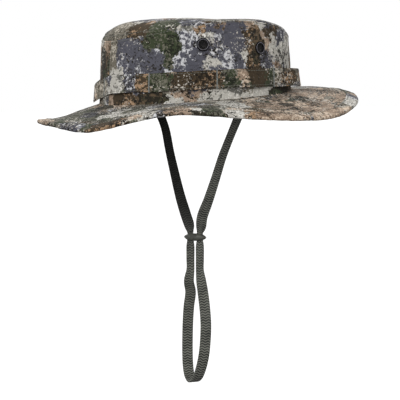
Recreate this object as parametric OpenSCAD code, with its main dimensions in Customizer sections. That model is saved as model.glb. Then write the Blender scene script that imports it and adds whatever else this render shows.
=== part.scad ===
// Boonie hat with vented crown, branch-loop band, soft curled brim and a
// flat braided chin strap gathered by a sliding keeper.
// The front of the hat is +X, its left side is +Y, and up is +Z.
// The origin is the middle of the head opening, at the seam between crown and brim.

/* [Crown] */
// Half length of the head opening, front to back
open_a = 101; // [97:1:105]
// Half width of the head opening, side to side
open_b = 86; // [82:1:90]
// Half length of the crown at the tip seam
top_a = 96.5; // [93:0.5:99]
// Half width of the crown at the tip seam
top_b = 82; // [79:0.5:85]
// Height of the middle of the crown tip above the opening
crown_h = 80.5; // [78:0.5:86]
// Thickness of the crown cloth
cloth_t = 1; // [0.8:0.1:1.2]

/* [Brim] */
// Width of the brim at the sides
brim_w = 65; // [58:1:70]
// How much narrower the brim is in front than at the sides, and wider behind
brim_shift = 3; // [0:1:5]
// Width of the binding round the brim's edge
binding_w = 11; // [8:1:14]

/* [Branch loops] */
// Height of the branch-loop band
band_h = 18; // [14:1:19]
// Thickness of the branch-loop band
band_t = 1.2; // [1:0.1:1.5]

/* [Vents] */
// Outer radius of a vent eyelet's flange
eyelet_r = 6.6; // [6:0.1:7.2]
// Radius of a vent eyelet's bore
vent_r = 4.6; // [4:0.1:4.8]

/* [Chin strap] */
// Length of the keeper
keeper_l = 27; // [26:0.5:30]
// Depth of the keeper, front to back
keeper_d = 11; // [10.5:0.5:13]
// Height of the keeper
keeper_h = 8; // [6:0.5:9]

/* [Hidden] */

$fn = 48;
gap = 0.1;                 // clearance between cloth pieces that lie on each other
turns = 72;                // facets round the hat
step = 360 / turns;
wall_levels = [0, 0.12, 0.3, 0.5, 0.7, 0.88, 1];
brim_steps = [0.012, 0.15, 0.35, 0.55, 0.75, 0.9, 1];
tip_steps = [0.35, 0.6, 0.78, 0.9, 0.96, 1];

ply_t = 0.6;               // outer and inner brim cloth
core_t = 0.7;              // stiffening between them
ply_gap = 0.25;            // the brim's layers curve, so they lie further apart
brim_half = core_t / 2 + ply_gap + ply_t;
belly = 1;                 // outward bow of the crown wall
belly_h = 75;
tip_rise = 1.5;            // gentle dome of the tip before it turns down to its seam
tip_roll = 7;              // higher is a tighter shoulder
band_tacks = [-4, 36, 76, 116, 164, 204, 244, 284, 320, 356];
band_bulge = [3, 2.5, 2.5, 10, 4, 4, 4, 4, 5];
band_sag = 10.5;             // the loop beside the front seam hangs lower
front_vent = 68;           // angle of the front vent on each side, from the front
rear_vent = 105.5;
vent_z = 52.2;
vent_lean = 4.9;           // the wall leans in this much at the vents, in degrees
// Soft dents of the brim's edge: angle, spread, rise.
RIM_DENTS = [[-7, 24, 8.5], [22, 12, -3], [55, 16, 4.5], [105, 30, 1.3], [138, 15, 2.7],
    [180, 12, -3], [-52, 18, -11], [-108, 18, 2.5]];
axis_x = -2;               // the strap hangs from the ear seams, just behind the middle
axis_y = 88;
axis_z = -5.4;
keeper_turn = 120;         // direction of the keeper's length, from the front
slot_c = 5.6;              // middle of each keeper slot, from the keeper's middle
slot_l = 9.4;
slot_w = 4.2;
keeper_z = -142;
keeper_x = 1;

// Half of the strap's route, from the left anchor down through the keeper to the bottom of
// the loop: x, y, z, direction of the strap's width from the front, width, thickness.
STRAP_HALF = [
    [-2, 87.7, -5.9, 0, 3, 1.2],
    [-2, 85.5, -9.8, 4, 8, 1.6],
    [-2, 83.4, -13.4, 8, 11, 1.8],
    [-2, 68, -33, 12, 11, 1.8],
    [0.3, 54.5, -56, 10, 11, 1.8],
    [1.2, 42, -79, 4, 11, 1.8],
    [2, 29.5, -101, -10, 11, 1.8],
    [2.4, 17.5, -119, -35, 11, 1.8],
    [-0.2, 10, -130.5, -50, 10.4, 1.8],
    [-1.8, 5, -137, -60, 6.4, 2.8],
    [-1.8, 4.85, -141, -60, 6.2, 3],
    [-1.8, 4.85, -146, -60, 7, 2.9],
    [-1.8, 4.85, -152, -60, 9, 2.3],
    [-1.8, 4.85, -164, -60, 9, 2.1],
    [-1.8, 4.85, -176, -60, 9, 2],
    [-1.5, 8.5, -188, -42, 10.4, 1.8],
    [-1, 13, -200, -30, 11, 1.8],
    [-1, 16.5, -215, -26, 11, 1.8],
    [-1, 18.4, -230, -26, 11, 1.8],
    [-0.5, 18.4, -245, -26, 11, 1.8],
    [0.4, 17, -261, -24, 11, 1.8],
    [1.8, 13.6, -275, -20, 11, 1.8],
    [3, 8, -286, -10, 11, 1.8],
    [3.7, 0, -290.5, 0, 11, 1.8]
];

// The other half mirrors it in Y, except where the keeper is turned and its strands with it.
function far_half(p) = p[1] < 11 && p[2] > -190 && p[2] < -125
    ? [2 * keeper_x - p[0], -p[1], p[2], p[3], p[4], p[5]]
    : [p[0], -p[1], p[2], p[3], p[4], p[5]];
half_n = len(STRAP_HALF);
STRAP = concat(STRAP_HALF, [for (i = [half_n - 2 : -1 : 0]) far_half(STRAP_HALF[i])]);

// Heights round the hat at angle f, measured from the front towards the left.
function seat_z(f) = -7.4 * cos(f);
function rim_z(f) = -15.2 - 12.5 * cos(f) + 2.6 * cos(2 * f) - 7.2 * cos(3 * f);
function turned(a, b) = (a - b + 900) % 360 - 180;
function total(v) = v * [for (x = v) 1];
function hump(f, at, spread) = exp(-pow(turned(f, at) / spread, 2));
function rim_dent(f) = total([for (d = RIM_DENTS) d[2] * hump(f, d[0], d[1])]);
function rim_curl(f) = -6 + 4 * cos(3 * f) + 13 * hump(f, -41, 30);
function tip_seam_z(f) = crown_h - 10.5 - 9 * cos(2 * f) - 1.4 * cos(f)
    - 2 * hump(f, -26, 25) - 2 * hump(f, 154, 20);
function band_z(f) = 10.6 - 2.8 * cos(f) - 1.5 * cos(2 * f)
    - band_sag * hump(f, -24, 19);
function brim_width(f) = brim_w - brim_shift * cos(f);

// A point of the crown wall at angle f and height z, moved out by o.
function wall_swell(z) = belly * sin(180 * min(1, max(0, z / belly_h)));
function wall_a(z) = open_a + (top_a - open_a) * z / belly_h + wall_swell(z);
function wall_b(z) = open_b + (top_b - open_b) * z / belly_h + wall_swell(z);
function wall_pt(f, z, o) = [(wall_a(z) + o) * cos(f), (wall_b(z) + o) * sin(f), z];

// A point of the brim at angle f and fraction t of its width, moved up by o.
function brim_pt(f, t, o) = [
    (open_a + brim_width(f) * t) * cos(f),
    (open_b + brim_width(f) * t) * sin(f),
    seat_z(f) + (rim_z(f) - seat_z(f) - rim_curl(f)) * t + rim_curl(f) * pow(t, 3)
        + rim_dent(f) * pow(t, 2) + o
];

// A point of the crown tip at angle f and fraction r of its radius, moved up by o.
function tip_pt(f, r, o) = [
    wall_a(tip_seam_z(f)) * r * cos(f),
    wall_b(tip_seam_z(f)) * r * sin(f),
    crown_h - tip_rise * pow(r, 2) - (crown_h - tip_rise - tip_seam_z(f)) * pow(r, tip_roll) + o
];

function reversed(v) = [for (i = [len(v) - 1 : -1 : 0]) v[i]];
function flat(v) = [for (row = v) each row];
function tack_bulge(f, k) = let (u = (f - band_tacks[k]) / (band_tacks[k + 1] - band_tacks[k]))
    u > 0 && u < 1 ? band_bulge[k] * sin(180 * u) : 0;
function bulge(f, k = 0) = k == len(band_bulge) ? 0
    : tack_bulge(f, k) + tack_bulge(f - 360, k) + bulge(f, k + 1);

// Joins outlines of equal length into a closed ring.
module ring_solid(rows) {
    n = len(rows);
    m = len(rows[0]);
    polyhedron(flat(rows), [for (i = [0 : n - 1]) for (j = [0 : m - 1])
        each let (a = i * m + j, b = i * m + (j + 1) % m, c = ((i + 1) % n) * m + (j + 1) % m,
            d = ((i + 1) % n) * m + j) [[a, b, c], [a, c, d]]]);
}

// Joins outlines of equal length into a bar with flat ends.
module bar_solid(rows) {
    n = len(rows);
    m = len(rows[0]);
    polyhedron(flat(rows), concat(
        [for (i = [0 : n - 2]) for (j = [0 : m - 1])
            each let (a = i * m + j, b = i * m + (j + 1) % m, c = (i + 1) * m + (j + 1) % m,
                d = (i + 1) * m + j) [[a, b, c], [a, c, d]]],
        [for (j = [1 : m - 2]) [0, j + 1, j]],
        [for (j = [1 : m - 2]) [(n - 1) * m, (n - 1) * m + j, (n - 1) * m + j + 1]]));
}

// Moves a child built along +Z so that it points out of the crown wall at angle f.
module on_wall(f, z, o = 0, lean = 0) {
    p = wall_pt(f, z, 0);
    turn = atan2(p[1] / pow(wall_b(z), 2), p[0] / pow(wall_a(z), 2));
    translate(p) rotate([0, 90 - lean, turn]) translate([0, 0, o]) children();
}

function vent_height(f) = vent_z + 5.2 * cos(f);

module crown_side(from, to) {
    rows = [for (f = [from, each [for (g = [from + step : step : to - step / 2]) g], to])
        concat(
            [for (s = wall_levels) wall_pt(f, seat_z(f) + brim_half + gap
                + (tip_seam_z(f) - 1.4 - seat_z(f) - brim_half) * s, 0)],
            [for (s = reversed(wall_levels)) wall_pt(f, seat_z(f) + brim_half + gap
                + (tip_seam_z(f) - 1.4 - seat_z(f) - brim_half) * s, -cloth_t)])];
    sign = from < 180 ? 1 : -1;
    difference() {
        bar_solid(rows);
        for (f = [front_vent, rear_vent])
            on_wall(sign * f, vent_height(f), -4, vent_lean) cylinder(r = vent_r + 0.75, h = 8);
    }
}

module crown_tip() {
    color("darkslategray") {
        rows = [for (i = [0 : turns - 1]) concat(
            [for (r = tip_steps) tip_pt(i * step, r, 0)],
            [for (r = reversed(tip_steps)) tip_pt(i * step, r, -cloth_t)])];
        m = 2 * len(tip_steps);
        top = turns * m;
        polyhedron(concat(flat(rows), [[0, 0, crown_h], [0, 0, crown_h - cloth_t]]), concat(
            [for (i = [0 : turns - 1]) for (j = [0 : m - 2])
                each let (k = (i + 1) % turns, a = i * m + j, b = i * m + j + 1,
                    c = k * m + j + 1, d = k * m + j) [[a, b, c], [a, c, d]]],
            [for (i = [0 : turns - 1]) [top, i * m, ((i + 1) % turns) * m]],
            [for (i = [0 : turns - 1]) [top + 1, ((i + 1) % turns) * m + m - 1, i * m + m - 1]]));
    }
}

module crown_side_left() {
    color("slategray") crown_side(0.1, 179.9);
}

module crown_side_right() {
    color("slategray") crown_side(180.1, 359.9);
}

// A band lying inside the crown wall, from height low(f) to low(f) + h.
module inner_ring(lows, h, o, t) {
    ring_solid([for (i = [0 : turns - 1]) let (f = i * step, z = lows[i]) [
        wall_pt(f, z, o), wall_pt(f, z + h / 2, o), wall_pt(f, z + h, o),
        wall_pt(f, z + h, o - t), wall_pt(f, z + h / 2, o - t), wall_pt(f, z, o - t)]]);
}

module tip_seam_tape() {
    color("black") inner_ring([for (i = [0 : turns - 1]) tip_seam_z(i * step) - 10],
        7.5, -cloth_t - gap, 0.6);
}

module sweatband() {
    color("dimgray") inner_ring([for (i = [0 : turns - 1]) seat_z(i * step) - 0.5],
        30, -cloth_t - gap, 1.2);
}

// A narrow vertical tape inside the crown wall at angle f.
module seam_tape(f) {
    tape_half = 3.4;
    tape_low = seat_z(f) + 31;
    tape_high = tip_seam_z(f) - 11.5;
    bar_solid([for (z = [tape_low : (tape_high - tape_low) / 3 : tape_high + 0.01]) [
        wall_pt(f - tape_half, z, -cloth_t - 0.3), wall_pt(f + tape_half, z, -cloth_t - 0.3),
        wall_pt(f + tape_half, z, -cloth_t - 0.9), wall_pt(f - tape_half, z, -cloth_t - 0.9)]]);
}

module front_seam_tape() {
    color("black") seam_tape(0);
}

module rear_seam_tape() {
    color("black") seam_tape(180);
}

// One layer of the brim between the offsets low and high.
module brim_ply(low, high) {
    ring_solid([for (i = [0 : turns - 1]) concat(
        [for (t = brim_steps) brim_pt(i * step, t, low)],
        [for (t = reversed(brim_steps)) brim_pt(i * step, t, high)])]);
}

module brim_upper() {
    color("slategray") brim_ply(core_t / 2 + ply_gap, brim_half);
}

module brim_interlining() {
    color("white") brim_ply(-core_t / 2, core_t / 2);
}

module brim_lower() {
    color("darkolivegreen") brim_ply(-brim_half, -core_t / 2 - ply_gap);
}

module brim_binding() {
    near = 1 - binding_w / brim_w;
    mid = (1 + near) / 2;
    inner = brim_half + ply_gap;
    outer = inner + ply_t;
    color("tan") ring_solid([for (i = [0 : turns - 1]) let (f = i * step) [
        brim_pt(f, near, -outer), brim_pt(f, mid, -outer), brim_pt(f, 1, -outer),
        brim_pt(f, 1.018, -inner / 2), brim_pt(f, 1.018, inner / 2),
        brim_pt(f, 1, outer), brim_pt(f, mid, outer), brim_pt(f, near, outer),
        brim_pt(f, near, inner), brim_pt(f, mid, inner), brim_pt(f, 1.004, inner),
        brim_pt(f, 1.004, -inner), brim_pt(f, mid, -inner), brim_pt(f, near, -inner)]]);
}

module foliage_band() {
    fine = 2 * turns;
    color("darkolivegreen") ring_solid([for (i = [0 : fine - 1])
        let (f = i * 360 / fine, z = band_z(f), o = gap + bulge(f)) [
            wall_pt(f, z, o), wall_pt(f, z, o + band_t),
            wall_pt(f, z + band_h, o + band_t), wall_pt(f, z + band_h, o)]]);
}

module bartacks() {
    color("lightgray") for (k = [0 : len(band_bulge) - 1]) let (f = band_tacks[k])
        on_wall(f, band_z(f) + band_h / 2, band_t + 1.1)
            translate([-band_h / 2, -0.8, 0]) cube([band_h, 1.6, 0.6]);
}

module eyelet(f) {
    color("black") on_wall(f, vent_height(f), 0, vent_lean) rotate_extrude() polygon([
        [vent_r, -cloth_t - 1.2], [vent_r + 0.6, -cloth_t - 1.2], [vent_r + 0.6, 0.2],
        [eyelet_r, 0.2], [eyelet_r, 0.7], [eyelet_r - 0.6, 1.2], [vent_r + 0.4, 1.2],
        [vent_r, 0.8]]);
}

module washer(f) {
    color("black") on_wall(f, vent_height(f), -cloth_t - 1.1, vent_lean) difference() {
        cylinder(r = eyelet_r - 0.2, h = 0.5);
        translate([0, 0, -1]) cylinder(r = vent_r + 0.7, h = 3);
    }
}

module vent_mesh(f) {
    color("dimgray") on_wall(f, vent_height(f), -0.8, vent_lean) cylinder(r = vent_r - 0.05, h = 0.4);
}

module eyelet_left_front() { eyelet(front_vent); }
module eyelet_left_rear() { eyelet(rear_vent); }
module eyelet_right_front() { eyelet(-front_vent); }
module eyelet_right_rear() { eyelet(-rear_vent); }
module washer_left_front() { washer(front_vent); }
module washer_left_rear() { washer(rear_vent); }
module washer_right_front() { washer(-front_vent); }
module washer_right_rear() { washer(-rear_vent); }
module mesh_left_front() { vent_mesh(front_vent); }
module mesh_left_rear() { vent_mesh(rear_vent); }
module mesh_right_front() { vent_mesh(-front_vent); }
module mesh_right_rear() { vent_mesh(-rear_vent); }

// A folded patch sewn under the brim seam, which the strap hangs from.
module strap_anchor(side) {
    color("darkslategray") translate([axis_x - 7, side * axis_y - 2, axis_z + 1.9])
        cube([14, 4, 1]);
}

module strap_anchor_left() { strap_anchor(1); }
module strap_anchor_right() { strap_anchor(-1); }

// Outline of the flat strap at route point i: eight corners across its width and thickness.
function strap_row(i) = let (
    p = STRAP[i], q = STRAP[max(0, i - 1)], r = STRAP[min(len(STRAP) - 1, i + 1)],
    along = [r[0] - q[0], r[1] - q[1], r[2] - q[2]], tangent = along / norm(along),
    level = [cos(p[3]), sin(p[3]), 0],
    across = level - (level * tangent) * tangent, wide = across / norm(across),
    thick = cross(tangent, wide), w = p[4] / 2, t = p[5] / 2)
    [for (k = [[-1, -0.4], [-0.86, -1], [0.86, -1], [1, -0.4],
        [1, 0.4], [0.86, 1], [-0.86, 1], [-1, 0.4]])
        [p[0], p[1], p[2]] + wide * w * k[0] + thick * t * k[1]];

module chin_strap() {
    color("dimgray") bar_solid([for (i = [0 : len(STRAP) - 1]) strap_row(i)]);
}

// Radius of an arc that is 2 * half_l long across its ends and rises by rise.
function arc_radius(half_l, rise) = (pow(half_l, 2) + pow(rise, 2)) / (2 * rise);

module keeper() {
    half_l = keeper_l / 2;
    plan_r = arc_radius(half_l, keeper_d / 2);
    rise = keeper_h / 2 + 1;   // the pointed side outline, cut flat at the keeper's height
    side_r = arc_radius(half_l, rise);
    color("black") translate([keeper_x, 0, keeper_z]) rotate([0, 0, keeper_turn])
        difference() {
            intersection() {
                intersection_for (side = [-1, 1])
                    translate([0, side * (keeper_d / 2 - plan_r), -keeper_h / 2])
                        cylinder(r = plan_r, h = keeper_h, $fn = 96);
                intersection_for (side = [-1, 1])
                    translate([0, 0, side * (rise - side_r)]) rotate([90, 0, 0])
                        cylinder(r = side_r, h = 2 * keeper_d, center = true, $fn = 96);
            }
            for (side = [-1, 1])
                translate([side * slot_c - slot_l / 2, -slot_w / 2, -keeper_h])
                    cube([slot_l, slot_w, 2 * keeper_h]);
        }
}

crown_tip();
crown_side_left();
crown_side_right();
tip_seam_tape();
front_seam_tape();
rear_seam_tape();
sweatband();
brim_upper();
brim_interlining();
brim_lower();
brim_binding();
foliage_band();
bartacks();
eyelet_left_front();
eyelet_left_rear();
eyelet_right_front();
eyelet_right_rear();
washer_left_front();
washer_left_rear();
washer_right_front();
washer_right_rear();
mesh_left_front();
mesh_left_rear();
mesh_right_front();
mesh_right_rear();
strap_anchor_left();
strap_anchor_right();
chin_strap();
keeper();
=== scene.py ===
"""Looks of a boonie hat: camo cloth, stitched brim, vents, branch loops and a braided chin strap.

Lengths are in metres. +X is the hat's front, +Y its left side, and the origin is the middle
of the head opening. Angles run from the front towards the left.
"""
import math

import bmesh
import bpy
import numpy as np
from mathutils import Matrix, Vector


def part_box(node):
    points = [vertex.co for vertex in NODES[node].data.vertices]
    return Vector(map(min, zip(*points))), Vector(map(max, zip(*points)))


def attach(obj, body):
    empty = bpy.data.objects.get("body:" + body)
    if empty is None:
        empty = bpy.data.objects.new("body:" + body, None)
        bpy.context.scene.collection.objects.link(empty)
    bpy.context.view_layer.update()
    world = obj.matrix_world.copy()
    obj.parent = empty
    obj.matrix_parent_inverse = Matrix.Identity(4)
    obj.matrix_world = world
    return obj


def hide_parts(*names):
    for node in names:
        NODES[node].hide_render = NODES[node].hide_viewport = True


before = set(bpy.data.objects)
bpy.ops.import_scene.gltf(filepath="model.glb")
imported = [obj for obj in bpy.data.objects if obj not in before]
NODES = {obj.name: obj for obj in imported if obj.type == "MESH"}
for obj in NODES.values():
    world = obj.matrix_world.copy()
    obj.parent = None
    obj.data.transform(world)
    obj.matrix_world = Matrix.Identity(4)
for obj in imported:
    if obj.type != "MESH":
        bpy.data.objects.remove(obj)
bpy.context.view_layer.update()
MM = 0.001
TAU = 2 * math.pi

# ---------------------------------------------------------------- the hat's driving sizes
OPEN_A, OPEN_B = 101 * MM, 86 * MM
TOP_A, TOP_B = 96.5 * MM, 82 * MM
CROWN_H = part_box("crown_tip")[1].z
CLOTH_T = 1 * MM
BRIM_W, BRIM_SHIFT = 65 * MM, 3 * MM
BINDING_W = 11 * MM
BAND_H, BAND_T = 18 * MM, 1.2 * MM
BELLY, BELLY_H = 1 * MM, 75 * MM
BRIM_HALF = 1.2 * MM
BAND_SAG = 10.5 * MM     # the band slips this far down the wall at the front left
VENT_Z, VENT_TILT, VENT_R = 52.2 * MM, 5.2 * MM, 4.6 * MM
VENT_ANGLES = (68, 105.5)
VENT_LEAN = math.radians(4.9)
TACKS = (-4, 36, 76, 116, 164, 204, 244, 284, 320, 356)
BULGES = (3, 2.5, 2.5, 10, 4, 4, 4, 4, 5)
# Soft dents of the brim's edge: angle and spread in degrees, rise in millimetres.
RIM_DENTS = ((-7, 24, 8.5), (22, 12, -3), (55, 16, 4.5), (105, 30, 1.3), (138, 15, 2.7), (180, 12, -3),
             (-52, 18, -11), (-108, 18, 2.5))
KEEPER_C = Vector((0.001, 0, -0.142))
KEEPER_TURN = math.radians(120)

# Half of the strap's route in millimetres: x, y, z, direction of its width in degrees from
# the front, width, thickness. It runs from the left anchor through the keeper to the bottom.
STRAP_HALF = [
    (-2, 87.7, -5.9, 0, 3, 1.2), (-2, 85.5, -9.8, 4, 8, 1.6), (-2, 83.4, -13.4, 8, 11, 1.8),
    (-2, 68, -33, 12, 11, 1.8), (0.3, 54.5, -56, 10, 11, 1.8), (1.2, 42, -79, 4, 11, 1.8),
    (2, 29.5, -101, -10, 11, 1.8), (2.4, 17.5, -119, -35, 11, 1.8), (-0.2, 10, -130.5, -50, 10.4, 1.8),
    (-1.8, 5, -137, -60, 6.4, 2.8), (-1.8, 4.85, -141, -60, 6.2, 3), (-1.8, 4.85, -146, -60, 7, 2.9),
    (-1.8, 4.85, -152, -60, 9, 2.3), (-1.8, 4.85, -164, -60, 9, 2.1), (-1.8, 4.85, -176, -60, 9, 2),
    (-1.5, 8.5, -188, -42, 10.4, 1.8), (-1, 13, -200, -30, 11, 1.8), (-1, 16.5, -215, -26, 11, 1.8),
    (-1, 18.4, -230, -26, 11, 1.8), (-0.5, 18.4, -245, -26, 11, 1.8), (0.4, 17, -261, -24, 11, 1.8),
    (1.8, 13.6, -275, -20, 11, 1.8), (3, 8, -286, -10, 11, 1.8), (3.7, 0, -290.5, 0, 11, 1.8)]


def far_half(p):
    """The same route point on the right side; the keeper's turn takes its strands with it."""
    in_keeper = p[1] < 11 and -190 < p[2] < -125
    x = 2 * KEEPER_C.x / MM - p[0] if in_keeper else p[0]
    return (x, -p[1]) + tuple(p[2:])


STRAP = STRAP_HALF + [far_half(p) for p in STRAP_HALF[-2::-1]]


# ---------------------------------------------------------------- the hat's surfaces
def hump(f, deg, spread):
    """1 at angle deg, falling to 0 over about spread degrees on both sides."""
    off = (np.degrees(f) - deg + 900) % 360 - 180
    return np.exp(-(off / spread) ** 2)


def seat_z(f):
    return -7.4 * MM * np.cos(f)


def rim_z(f):
    return (-15.2 - 12.5 * np.cos(f) + 2.6 * np.cos(2 * f) - 7.2 * np.cos(3 * f)) * MM


def rim_curl(f):
    return (-6 + 4 * np.cos(3 * f) + 13 * hump(f, -41, 30)) * MM


def tip_seam_z(f):
    slump = 2 * hump(f, -26, 25) + 2 * hump(f, 154, 20)
    return CROWN_H - (10.5 + 9 * np.cos(2 * f) + 1.4 * np.cos(f) + slump) * MM


def rim_dent(f):
    return sum(hump(f, deg, spread) * rise for deg, spread, rise in RIM_DENTS) * MM


def band_z(f):
    return (10.6 - 2.8 * np.cos(f) - 1.5 * np.cos(2 * f)) * MM - BAND_SAG * hump(f, -24, 19)


def brim_width(f):
    return BRIM_W - BRIM_SHIFT * np.cos(f)


def wall_axes(z):
    swell = BELLY * np.sin(np.pi * np.clip(z / BELLY_H, 0, 1))
    return (OPEN_A + (TOP_A - OPEN_A) * z / BELLY_H + swell,
            OPEN_B + (TOP_B - OPEN_B) * z / BELLY_H + swell)


def wall(f, z, o=0.0):
    a, b = wall_axes(z)
    return np.stack(np.broadcast_arrays((a + o) * np.cos(f), (b + o) * np.sin(f), z + 0 * f), -1)


def brim(f, t, o=0.0):
    w = brim_width(f)
    drop = rim_z(f) - seat_z(f) - rim_curl(f)
    z = seat_z(f) + drop * t + rim_curl(f) * t ** 3 + rim_dent(f) * t ** 2 + o
    return np.stack(np.broadcast_arrays((OPEN_A + w * t) * np.cos(f), (OPEN_B + w * t) * np.sin(f), z), -1)


def tip(f, r, o=0.0):
    a, b = wall_axes(tip_seam_z(f))
    z = CROWN_H - 1.5 * MM * r ** 2 - (CROWN_H - 1.5 * MM - tip_seam_z(f)) * r ** 7 + o
    return np.stack(np.broadcast_arrays(a * r * np.cos(f), b * r * np.sin(f), z), -1)


def bulge(f):
    """How far the branch-loop band stands off the crown at angle f."""
    deg = np.degrees(f) % 360
    out = np.zeros_like(deg)
    for start, end, amount in zip(TACKS, TACKS[1:], BULGES):
        for lap in (0, 360):
            u = (deg - lap - start) / (end - start)
            out += np.where((u > 0) & (u < 1), amount * MM * np.sin(np.pi * np.clip(u, 0, 1)), 0)
    return out


def ripple(p, wave, seed, count=14):
    """Smooth noise about -1 to 1 over points p: a seeded sum of plane waves."""
    rng = np.random.default_rng(seed)
    total = np.zeros(p.shape[:-1])
    for _ in range(count):
        d = rng.normal(size=3)
        d /= np.linalg.norm(d)
        total += np.sin(TAU * (p @ d) / (wave * rng.uniform(0.7, 1.5)) + rng.uniform(0, TAU))
    return total / math.sqrt(count)


def sag_wave(p, t):
    """The brim's slow waviness at points p, fading out at the seam and the rim."""
    return 0.25 * MM * ripple(p, 42 * MM, 22) * np.sin(np.pi * np.clip(t, 0, 1))


def binding_wave(p, t):
    return 0.14 * MM * ripple(p, 11 * MM, 31) + sag_wave(p, t)


def vent_points():
    """Angle and height of each of the four vents."""
    for side in (1, -1):
        for deg in VENT_ANGLES:
            f = side * math.radians(deg)
            z = VENT_Z + VENT_TILT * math.cos(f)
            yield f, z


def vent_frame(f, z):
    """Centre of a vent, its outward normal, and the two directions across it."""
    a, b = wall_axes(z)
    centre = wall(np.float64(f), z)
    n = np.array([math.cos(f) / a, math.sin(f) / b, 0])
    n = n / np.linalg.norm(n) * math.cos(VENT_LEAN) + np.array([0, 0, math.sin(VENT_LEAN)])
    u = np.cross([0, 0, 1], n)
    u /= np.linalg.norm(u)
    return centre, n, u, np.cross(n, u)


def wall_wear(f, z):
    """Cloth detail of the crown wall: soft dents, and puckers at its two seams."""
    p = wall(f, z)
    d = 0.55 * MM * ripple(p, 55 * MM, 3) + 0.16 * MM * ripple(p, 16 * MM, 4)
    for vf, vz in vent_points():
        dist = np.linalg.norm(p - wall(np.float64(vf), vz), axis=-1)
        d = d * (1 - np.exp(-(dist / (11 * MM)) ** 2))
    in_band = 1 / (1 + np.exp((z - band_z(f) - BAND_H) / (4 * MM)))
    d = d * (1 - 0.8 * in_band)
    arc = f * 92 * MM
    pucker = np.sin(TAU * arc / (7.5 * MM) + 2.2 * ripple(p, 40 * MM, 5))
    d = d + 0.22 * MM * pucker * np.exp(-(tip_seam_z(f) - z) / (6 * MM))
    return d - 0.125 * MM * (1 - in_band)


# ---------------------------------------------------------------- mesh helpers
def make_object(name, verts, faces, uv=None, sharp=50):
    me = bpy.data.meshes.new(name)
    me.from_pydata(np.asarray(verts).reshape(-1, 3).tolist(), [], [list(map(int, q)) for q in faces])
    if uv is not None:
        layer = me.uv_layers.new(name="cloth")
        layer.data.foreach_set("uv", np.asarray(uv, float).reshape(-1))
    me.update()
    obj = bpy.data.objects.new(name, me)
    bpy.context.scene.collection.objects.link(obj)
    me.polygons.foreach_set("use_smooth", [True] * len(me.polygons))
    me.set_sharp_from_angle(angle=math.radians(sharp))
    return obj


def face_outward(obj):
    bm = bmesh.new()
    bm.from_mesh(obj.data)
    bmesh.ops.recalc_face_normals(bm, faces=bm.faces)
    bm.to_mesh(obj.data)
    bm.free()
    obj.data.update()
    return obj


def lattice_faces(nu, nv, closed_u, closed_v):
    i = np.arange(nu if closed_u else nu - 1)
    j = np.arange(nv if closed_v else nv - 1)
    i, j = np.meshgrid(i, j, indexing="ij")
    i, j = i.ravel(), j.ravel()
    i2, j2 = (i + 1) % nu, (j + 1) % nv
    faces = np.stack([i * nv + j, i2 * nv + j, i2 * nv + j2, i * nv + j2], -1)
    corners = np.stack([np.stack([i, j], -1), np.stack([i + 1, j], -1),
                        np.stack([i + 1, j + 1], -1), np.stack([i, j + 1], -1)], 1)
    return faces, corners


def surface_uv(corners, u_step, v_step):
    return corners * np.array([u_step, v_step])


def shell(name, outer, inner, closed_u, steps, sharp=50):
    """A closed solid between two grids (nu, nv, 3): outer and inner surfaces and their rims."""
    nu, nv = outer.shape[:2]
    loop = np.concatenate([outer, inner[:, ::-1]], 1)
    faces, corners = lattice_faces(nu, 2 * nv, closed_u, True)
    uv = surface_uv(corners, *steps)
    faces, uv = faces.tolist(), uv.reshape(-1, 2).tolist()
    if not closed_u:
        for i in (0, nu - 1):
            for j in range(nv - 1):
                base = i * 2 * nv
                faces.append([base + j, base + j + 1, base + 2 * nv - 2 - j, base + 2 * nv - 1 - j])
                uv += [[0, j * steps[1]], [0, (j + 1) * steps[1]], [CLOTH_T, (j + 1) * steps[1]],
                       [CLOTH_T, j * steps[1]]]
    return face_outward(make_object(name, loop, faces, uv, sharp))


def bake_modifiers(obj):
    dg = bpy.context.evaluated_depsgraph_get()
    me = bpy.data.meshes.new_from_object(obj.evaluated_get(dg))
    obj.modifiers.clear()
    obj.data = me
    return obj


def place(obj, body, slot, *nodes):
    """Hands a finished piece to the frame: its body and the CAD nodes it shows. The slot, its finish, is
    not used.
    """
    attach(obj, body)
    if nodes:
        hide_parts(*nodes)
    return obj


def stitches(name, rows, pitch=3.2 * MM, fill=0.74, radius=0.26 * MM, sides=5):
    """Sewn stitches along rows. Each row is (points, normals), dense and open or closed."""
    lift = np.array([-0.5, 0.45, 0.45, -0.5]) * radius
    swell = np.array([0.75, 1, 1, 0.75])
    along = np.array([0, 0.22, 0.78, 1])
    ang = np.arange(sides) * TAU / sides
    starts, ends, ups = [], [], []
    for pts, nrm in rows:
        seg = np.linalg.norm(np.diff(pts, axis=0), axis=1)
        s = np.concatenate([[0], np.cumsum(seg)])
        count = max(1, int(round(s[-1] / pitch)))
        step = s[-1] / count
        at = np.arange(count) * step
        pick = lambda q, v: np.stack([np.interp(q, s, v[:, k]) for k in range(3)], -1)
        starts.append(pick(at, pts))
        ends.append(pick(at + fill * step, pts))
        ups.append(pick(at + fill * step / 2, nrm))
    a, b, n = (np.concatenate(v) for v in (starts, ends, ups))
    t = b - a
    t /= np.linalg.norm(t, axis=1, keepdims=True)
    n = n - (n * t).sum(1, keepdims=True) * t
    n /= np.linalg.norm(n, axis=1, keepdims=True)
    w = np.cross(t, n)
    centre = a[:, None] + (b - a)[:, None] * along[None, :, None] + n[:, None] * lift[None, :, None]
    ring = (n[:, None, None] * np.cos(ang)[None, None, :, None]
            + w[:, None, None] * np.sin(ang)[None, None, :, None]) * radius
    verts = centre[:, :, None] + ring * swell[None, :, None, None]
    one, _ = lattice_faces(4, sides, False, True)
    faces = []
    for k in range(len(a)):
        base = k * 4 * sides
        faces += (one + base).tolist()
        faces.append([base + j for j in range(sides)])
        faces.append([base + 3 * sides + j for j in range(sides)])
    return face_outward(make_object(name, verts, faces))


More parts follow.
